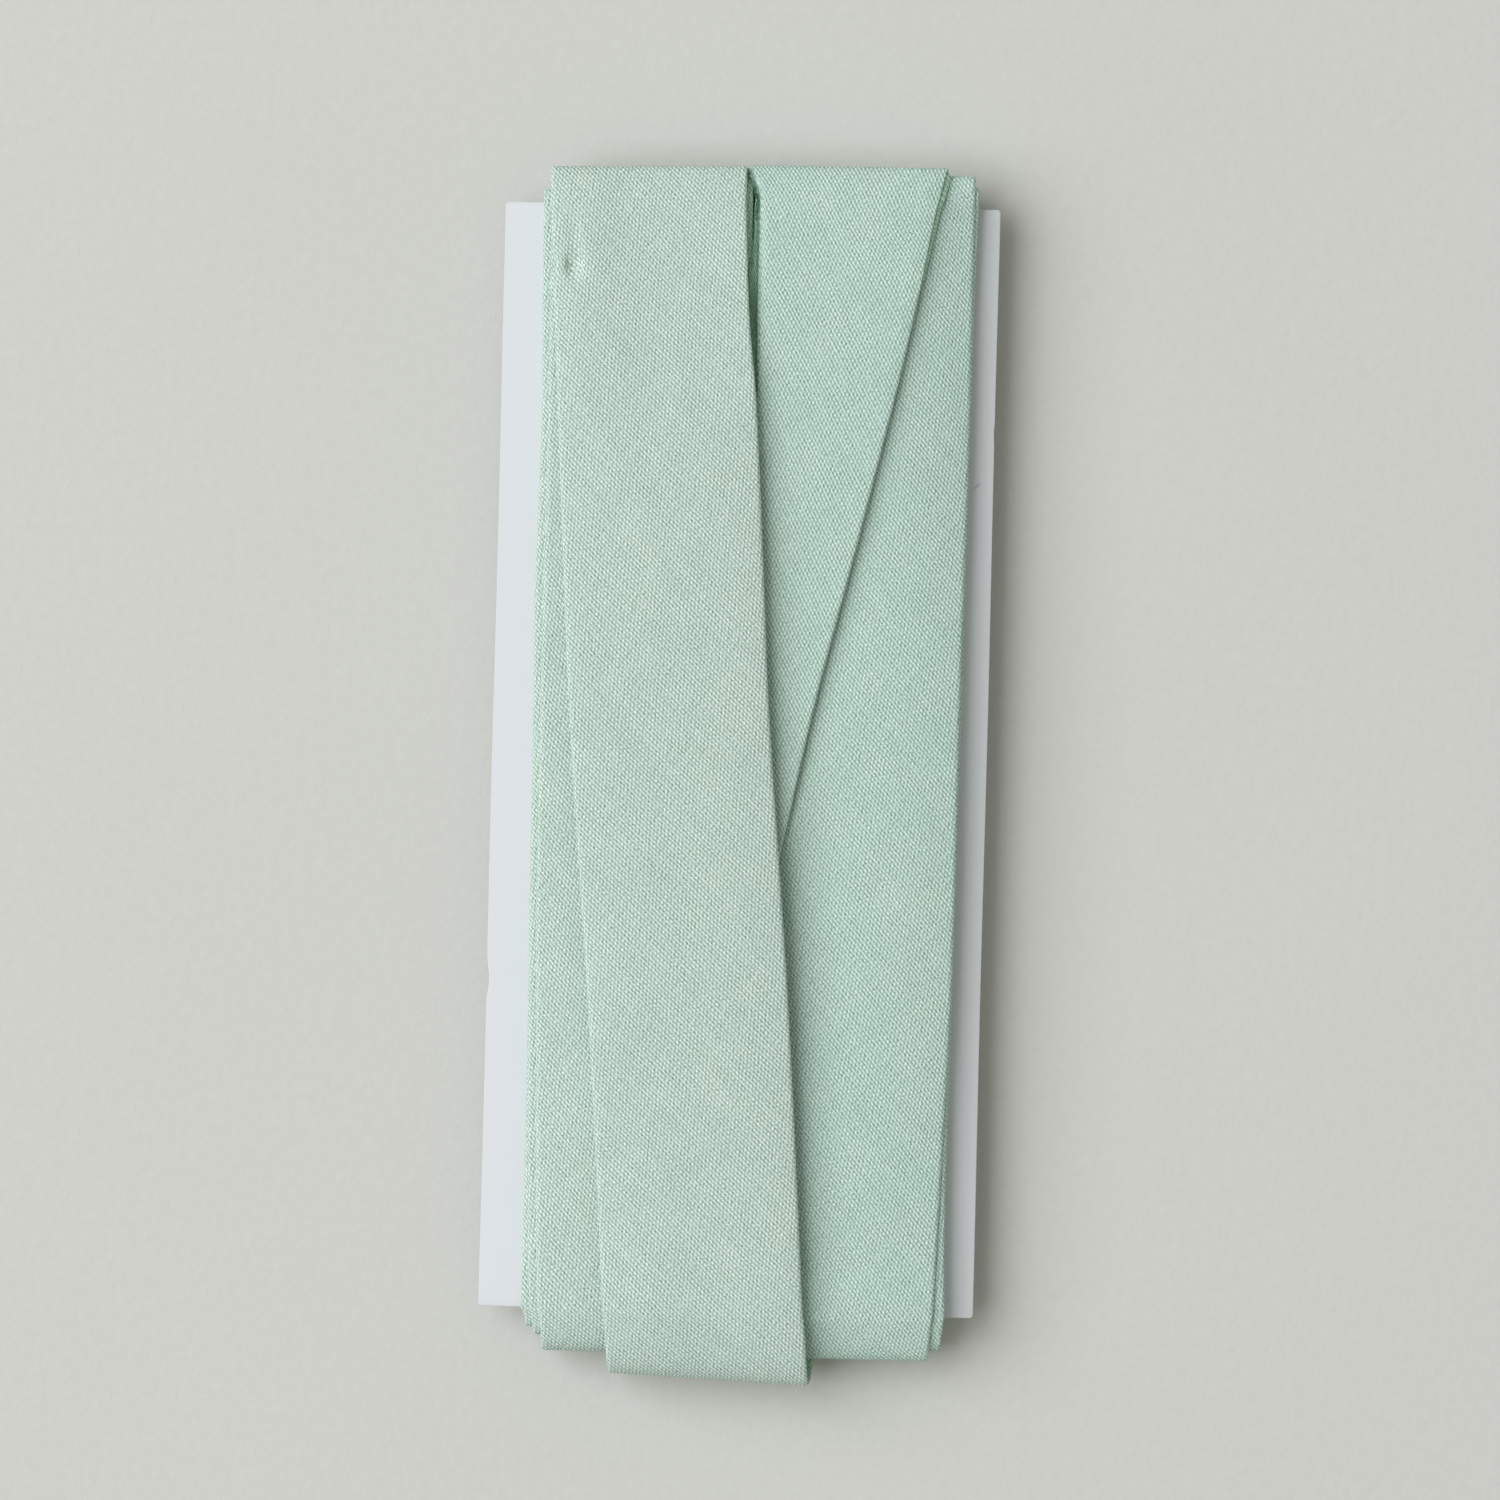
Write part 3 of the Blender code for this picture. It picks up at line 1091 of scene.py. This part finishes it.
def on_line(points, length):
    """Give a line's place, height and direction at a length along it."""
    index = bisect.bisect_right(points, length, key=itemgetter(0)) - 1
    index = min(len(points) - 2, max(0, index))
    start = points[index]
    end = points[index + 1]
    share = (length - start[0]) / (end[0] - start[0])
    lean = Vector((end[1] - start[1], end[2] - start[2])).normalized()
    return between(start[1], end[1], share), between(start[2], end[2], share), lean


def edge_waver(travelled, side):
    """Give the small unevenness of the tape's edges."""
    phase = 0.0 if side < 0 else EDGE_PHASE
    waves = enumerate(EDGE_WAVES, 1)
    return sum(size * math.sin(travelled / wave + order * phase) for order, (size, wave) in waves)


def slipped(on_cloth, slip):
    """Give how far a point of the right fold and hem moves out where the lower ply slips."""
    beyond = on_cloth - FACE_EDGE
    bend = beyond / FOLD_LENGTH
    if slip <= 0.0 or bend < PINCHED_BEND[0]:
        return 0.0
    if bend < PINCHED_BEND[1]:
        return -PINCH * smooth(*PINCH_SETS, slip)
    return slip * smooth(*SLIP_BEHIND, beyond)


def make_row(station, section, ranks):
    """Give a row's points, their places on the cloth, and how much painted shade deepens each one's
    colour in a fold or the slit.
    """
    points = lay_across(station)
    along = station["along"]
    width = station["right"] - station["left"]
    middle = (station["left"] + station["right"]) / 2
    out_y, out_z = station["out"]
    fold = read_off(FOLD_LINE, along)
    slip = 0.0
    sunk = 0.0
    if tucked_front(station):
        sunk = smooth(*HEM_SINK_ALONG, along) * station["dense"]
        if along > SLIP_FOOT:
            slip = read_off(SLIP, along) * smooth(*SLIP_WITH_COLUMNS, station["dense"])
    on_margin = station["lap"]["at_slit"] and station["side"] > 0 and along > MARGIN_ALONG
    row = []
    for across, thick, on_cloth in section:
        moved = crowd(station, across, ranks) if abs(across) <= FACE_EDGE else across
        x, level, lean = on_line(points, (HALF_TAPE - moved) / TAPE_WIDTH * width)
        x -= thick * lean.y
        level += thick * abs(lean.x)
        cloth_place = on_cloth + (moved - across) * math.copysign(1.0, thick)
        # Painted shade: how much the cloth's colour is deepened here, on the hems, the slipped ply,
        # beside the fold and on the slit's margin.
        painted_fold_shade = HEM_SHADE if thick < 0.0 else 0.0

        moved_out = slipped(on_cloth, slip)
        if moved_out != 0.0:
            slipping = smooth(*SLIP_SETS, slip)
            x += moved_out
            level -= SLIP_DROP * slipping
            cloth_place += max(0.0, moved_out)
            painted_fold_shade = SLIP_SHADE * slipping
        if sunk > 0.0 and thick < 0.0:
            level -= HEM_SINK * sunk * smooth(*HEM_SINK_BESIDE, x - fold)
        x += edge_waver(station["travelled"], moved) * moved / HALF_TAPE

        cut = station["cut"] * moved
        y = along + out_y * level + station["skew"] * (x - middle) + cut
        z = station["level"] + out_z * level
        if cut != 0.0:
            x += read_off(station["lap"]["front"], along + cut, 2) - station["right"]
        if sunk > 0.0 and x < fold:
            painted_fold_shade = sunk
        if on_margin and x > MARGIN_X:
            painted_fold_shade = max(painted_fold_shade, MARGIN_SHADE)
        on_tape = station["travelled"] + (x - middle) * station["slant"] - cut
        row.append(((x, y, z), (on_tape, cloth_place), painted_fold_shade))
    return row


def close_cloth(rows):
    """Make one closed mesh of the rows: the tape's skin, joined at its seam and capped at its ends."""
    work = bmesh.new()
    wide = len(rows[0]) - 1
    tall = len(rows) - 1
    bmesh.ops.create_grid(work, x_segments=wide, y_segments=tall, size=0.5)
    on_cloth = work.loops.layers.uv.new("cloth")
    # Each point's share of painted shade in the cloth's colour.
    painted_fold_shade = work.verts.layers.float.new("painted_fold_shade")
    index = {}
    for corner in work.verts:
        column = round((corner.co.x + 0.5) * wide)
        row = round((corner.co.y + 0.5) * tall)
        index[corner] = (row, column)
        corner[painted_fold_shade] = rows[row][column][2]
    for face in work.faces:
        face.smooth = True
        for loop in face.loops:
            row, column = index[loop.vert]
            u, v = rows[row][column][1]
            loop[on_cloth].uv = (u * MM, v * MM)
    seam = []
    for corner, (row, column) in index.items():
        corner.co = Vector(rows[row][column][0]) * MM + CARD_MIDDLE
        if column in (0, wide):
            seam.append(corner)
    bmesh.ops.remove_doubles(work, verts=seam, dist=1e-7)
    ends = [edge for edge in work.edges if edge.is_boundary]
    caps = bmesh.ops.edgeloop_fill(work, edges=ends)["faces"]
    bmesh.ops.triangulate(work, faces=caps)
    bmesh.ops.recalc_face_normals(work, faces=work.faces[:])
    return work


def finish_piece(name, work, material, node):
    """Make a bmesh a piece that stands for a node of the frame."""
    mesh = bpy.data.meshes.new(name)
    work.to_mesh(mesh)
    work.free()
    mesh.materials.append(material)
    piece = bpy.data.objects.new(name, mesh)
    bpy.context.scene.collection.objects.link(piece)
    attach(piece, "root")
    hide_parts(node)
    return piece


def make_binding(settings):
    """Wind the tape."""
    stations = wind()
    last_along = stations[-1]["along"]
    for station in filter(tucked_front, stations):
        station["cut"] = -CUT_SLANT * smooth(CUT_TURN, last_along, station["along"])
    total = measure(stations)
    section = fold_section()
    face = sorted({across for across, thick, place in section if thick > 0 and across == place})
    ranks = {across: rank for rank, across in enumerate(face)}
    work = close_cloth([make_row(station, section, ranks) for station in stations])
    greyer_stretch = [
        min(row["travelled"] for row in stations if row["lap"]["kind"] == kind)
        for kind in ("left column", "tucked")
    ]
    finish = cotton_finish(settings, greyer_stretch)
    piece = finish_piece("wound_tape", work, finish, "binding")
    piece.data.set_sharp_from_angle(angle=TAPE_SHARP)
    settings.cut_width
    total * MM
    return piece


def make_card(settings):
    """Cut the card: out of square at its top left, with soft edges and a few nicks."""
    work = bmesh.new()
    bmesh.ops.create_cube(work, size=1.0)
    bmesh.ops.scale(work, verts=work.verts[:], vec=CARD_SIZE / MM)
    for corner in work.verts:
        if corner.co.x < 0 and corner.co.y > 0:
            corner.co.y -= OUT_OF_SQUARE
    upright = [edge for edge in work.edges if edge.verts[0].co.xy == edge.verts[1].co.xy]
    bmesh.ops.bevel(
        work, geom=upright, offset=CARD_CORNER, segments=4, profile=0.5, affect="EDGES",
        material=-1,
    )
    lengthwise = [
        edge for edge in work.edges if abs(edge.verts[0].co.y - edge.verts[1].co.y) > HALF_CARD
    ]
    bmesh.ops.subdivide_edges(work, edges=lengthwise, cuts=SIDE_CUTS, use_grid_fill=True)
    for corner in work.verts:
        side = math.copysign(1.0, corner.co.x)
        if abs(corner.co.x) < HALF_WIDTH - 0.01:
            continue
        for nick_side, along, depth, reach in NICKS:
            if side == nick_side:
                corner.co.x -= side * depth * math.exp(-(((corner.co.y - along) / reach) ** 2))
        corner.co.x += SIDE_WAVER * math.sin(corner.co.y / SIDE_WAVE + side)
    rim = [
        edge for edge in work.edges
        if len(edge.link_faces) == 2 and edge.calc_face_angle() > LIP_ANGLE
    ]
    bmesh.ops.bevel(
        work, geom=rim, offset=CARD_LIP, segments=2, profile=0.5, affect="EDGES", material=-1
    )
    bmesh.ops.scale(work, verts=work.verts[:], vec=(MM, MM, MM))
    bmesh.ops.translate(work, verts=work.verts[:], vec=CARD_MIDDLE)
    bmesh.ops.recalc_face_normals(work, faces=work.faces[:])
    for face in work.faces:
        face.smooth = True
    piece = finish_piece("cut_card", work, card_finish(settings), "card")
    piece.data.set_sharp_from_angle(angle=CARD_SHARP)
    return piece


def make_floor(settings):
    """Lay the pale floor."""
    work = bmesh.new()
    bmesh.ops.create_grid(work, x_segments=8, y_segments=8, size=FLOOR_SIZE)
    mesh = bpy.data.meshes.new("floor")
    work.to_mesh(mesh)
    work.free()
    mesh.materials.append(floor_finish(settings))
    floor = bpy.data.objects.new("floor", mesh)
    bpy.context.scene.collection.objects.link(floor)
    floor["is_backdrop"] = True


def make_window(power):
    """Hang the large soft light: its azimuth runs from the left towards the top."""
    lamp = bpy.data.lights.new("window", "AREA")
    lamp.shape = "SQUARE"
    lamp.size = WINDOW_SIZE
    lamp.energy = power
    lamp.color = WINDOW_COLOUR
    window = bpy.data.objects.new("window", lamp)
    towards = Vector((
        -math.cos(WINDOW_HEIGHT) * math.cos(WINDOW_AZIMUTH),
        math.cos(WINDOW_HEIGHT) * math.sin(WINDOW_AZIMUTH),
        math.sin(WINDOW_HEIGHT),
    ))
    window.location = towards * WINDOW_DISTANCE
    window.rotation_mode = "QUATERNION"
    window.rotation_quaternion = towards.to_track_quat("Z", "Y")
    bpy.context.scene.collection.objects.link(window)


def make_camera():
    """Look straight down, turned so that the card leans as in the photograph."""
    data = bpy.data.cameras.new("camera")
    data.sensor_width = SENSOR
    data.lens = SENSOR * CAMERA_HEIGHT / FIELD
    camera = bpy.data.objects.new("camera", data)
    camera.location = (*VIEW_MIDDLE, CARD_MIDDLE.z + CAMERA_HEIGHT)
    camera.rotation_euler = (0.0, 0.0, VIEW_TURN)
    bpy.context.scene.collection.objects.link(camera)
    bpy.context.scene.camera = camera


def make_surroundings(level):
    """Fill the shadows evenly from all round."""
    world = bpy.data.worlds.new("soft studio")
    world.use_nodes = True
    back = world.node_tree.nodes["Background"]
    back.inputs["Color"].default_value = FILL_COLOUR
    back.inputs["Strength"].default_value = level
    bpy.context.scene.world = world


class BindingSettings(bpy.types.PropertyGroup):
    """Sizes and colours of the wound binding, its card and its stage."""

    cut_width: bpy.props.FloatProperty(
        name="Cut Width",
        description="Width of the cloth strip before its hems are folded in",
        default=0.0385,
        unit="LENGTH",
    )
    warp_pitch: bpy.props.FloatProperty(
        name="Warp Pitch",
        description="Spacing of the warp threads, in millimetres",
        default=0.342,
    )
    weft_pitch: bpy.props.FloatProperty(
        name="Weft Pitch",
        description="Spacing of the weft threads, in millimetres",
        default=0.235,
    )
    mint_cool: bpy.props.FloatVectorProperty(
        name="Cool Mint",
        description="Colour of the cloth where it is coolest",
        default=(0.462, 0.632, 0.567, 1.0),
        size=4,
        subtype="COLOR",
    )
    mint_warm: bpy.props.FloatVectorProperty(
        name="Warm Mint",
        description="Colour of the cloth where it is warmest",
        default=(0.490, 0.642, 0.558, 1.0),
        size=4,
        subtype="COLOR",
    )
    greyer_tint: bpy.props.FloatVectorProperty(
        name="Greyer Tint",
        description="What the colour is multiplied by where the cloth is a little greyer",
        default=(1.075, 1.0, 1.015, 1.0),
        size=4,
        subtype="COLOR",
        soft_max=2.0,
    )
    # Painted shade: the greener, deeper tint multiplied into the cloth in its folds and the slit.
    fold_shade_tint: bpy.props.FloatVectorProperty(
        name="Painted Fold Shade",
        description="What the colour is multiplied by inside the folds, where it hasn't faded",
        default=(0.90, 1.08, 0.90, 1.0),
        size=4,
        subtype="COLOR",
        soft_max=2.0,
    )
    card_white: bpy.props.FloatVectorProperty(
        name="Card White",
        description="Colour of the card",
        default=(0.652, 0.676, 0.706, 1.0),
        size=4,
        subtype="COLOR",
    )
    pencil: bpy.props.FloatVectorProperty(
        name="Pencil Grey",
        description="Colour of the small mark on the card",
        default=(0.16, 0.18, 0.22, 1.0),
        size=4,
        subtype="COLOR",
    )
    floor_grey: bpy.props.FloatVectorProperty(
        name="Floor Grey",
        description="Colour of the floor",
        default=(0.610, 0.615, 0.583, 1.0),
        size=4,
        subtype="COLOR",
    )
    window_power: bpy.props.FloatProperty(
        name="Main Light",
        description="Power of the large soft light at the left, in watts",
        default=68.3,
        subtype="POWER",
    )
    fill_level: bpy.props.FloatProperty(
        name="Fill Level",
        description="Brightness of the light that comes from all round",
        default=0.40,
    )


class BINDING_OT_wind(bpy.types.Operator):
    """Wind the folded tape round the card"""

    bl_idname = "binding.wind"
    bl_label = "Wind the Tape"

    def execute(self, context):
        make_binding(context.scene.bias_binding)
        return {"FINISHED"}


class BINDING_OT_card(bpy.types.Operator):
    """Cut the white card"""

    bl_idname = "binding.card"
    bl_label = "Cut the Card"

    def execute(self, context):
        make_card(context.scene.bias_binding)
        return {"FINISHED"}


class BINDING_OT_stage(bpy.types.Operator):
    """Lay the floor and set the lights and the camera"""

    bl_idname = "binding.stage"
    bl_label = "Set the Stage"

    def execute(self, context):
        settings = context.scene.bias_binding
        make_floor(settings)
        make_window(settings.window_power)
        make_surroundings(settings.fill_level)
        make_camera()
        context.scene.view_settings.view_transform = "Standard"
        return {"FINISHED"}


class BINDING_PT_panel(bpy.types.Panel):
    """The binding's steps and settings"""

    bl_idname = "BINDING_PT_panel"
    bl_label = "Bias Binding"
    bl_space_type = "VIEW_3D"
    bl_region_type = "UI"
    bl_category = "Binding"

    def draw(self, context):
        for step in (BINDING_OT_card, BINDING_OT_wind, BINDING_OT_stage):
            self.layout.operator(step.bl_idname)
        settings = context.scene.bias_binding
        for name in settings.bl_rna.properties.keys():
            if name not in ("rna_type", "name"):
                self.layout.prop(settings, name)


CLASSES = (
    BindingSettings,
    BINDING_OT_wind,
    BINDING_OT_card,
    BINDING_OT_stage,
    BINDING_PT_panel,
)


def register():
    for item in CLASSES:
        bpy.utils.register_class(item)
    bpy.types.Scene.bias_binding = bpy.props.PointerProperty(type=BindingSettings)


def unregister():
    del bpy.types.Scene.bias_binding
    for item in reversed(CLASSES):
        bpy.utils.unregister_class(item)


def main():
    """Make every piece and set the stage."""
    register()
    bpy.ops.binding.card()
    bpy.ops.binding.wind()
    bpy.ops.binding.stage()
    low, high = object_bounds()
    sizes = {
        "cad": [list(CAD_LOW), list(CAD_HIGH)],
        "visual": [list(low), list(high)],
    }


if __name__ == "__main__":
    main()
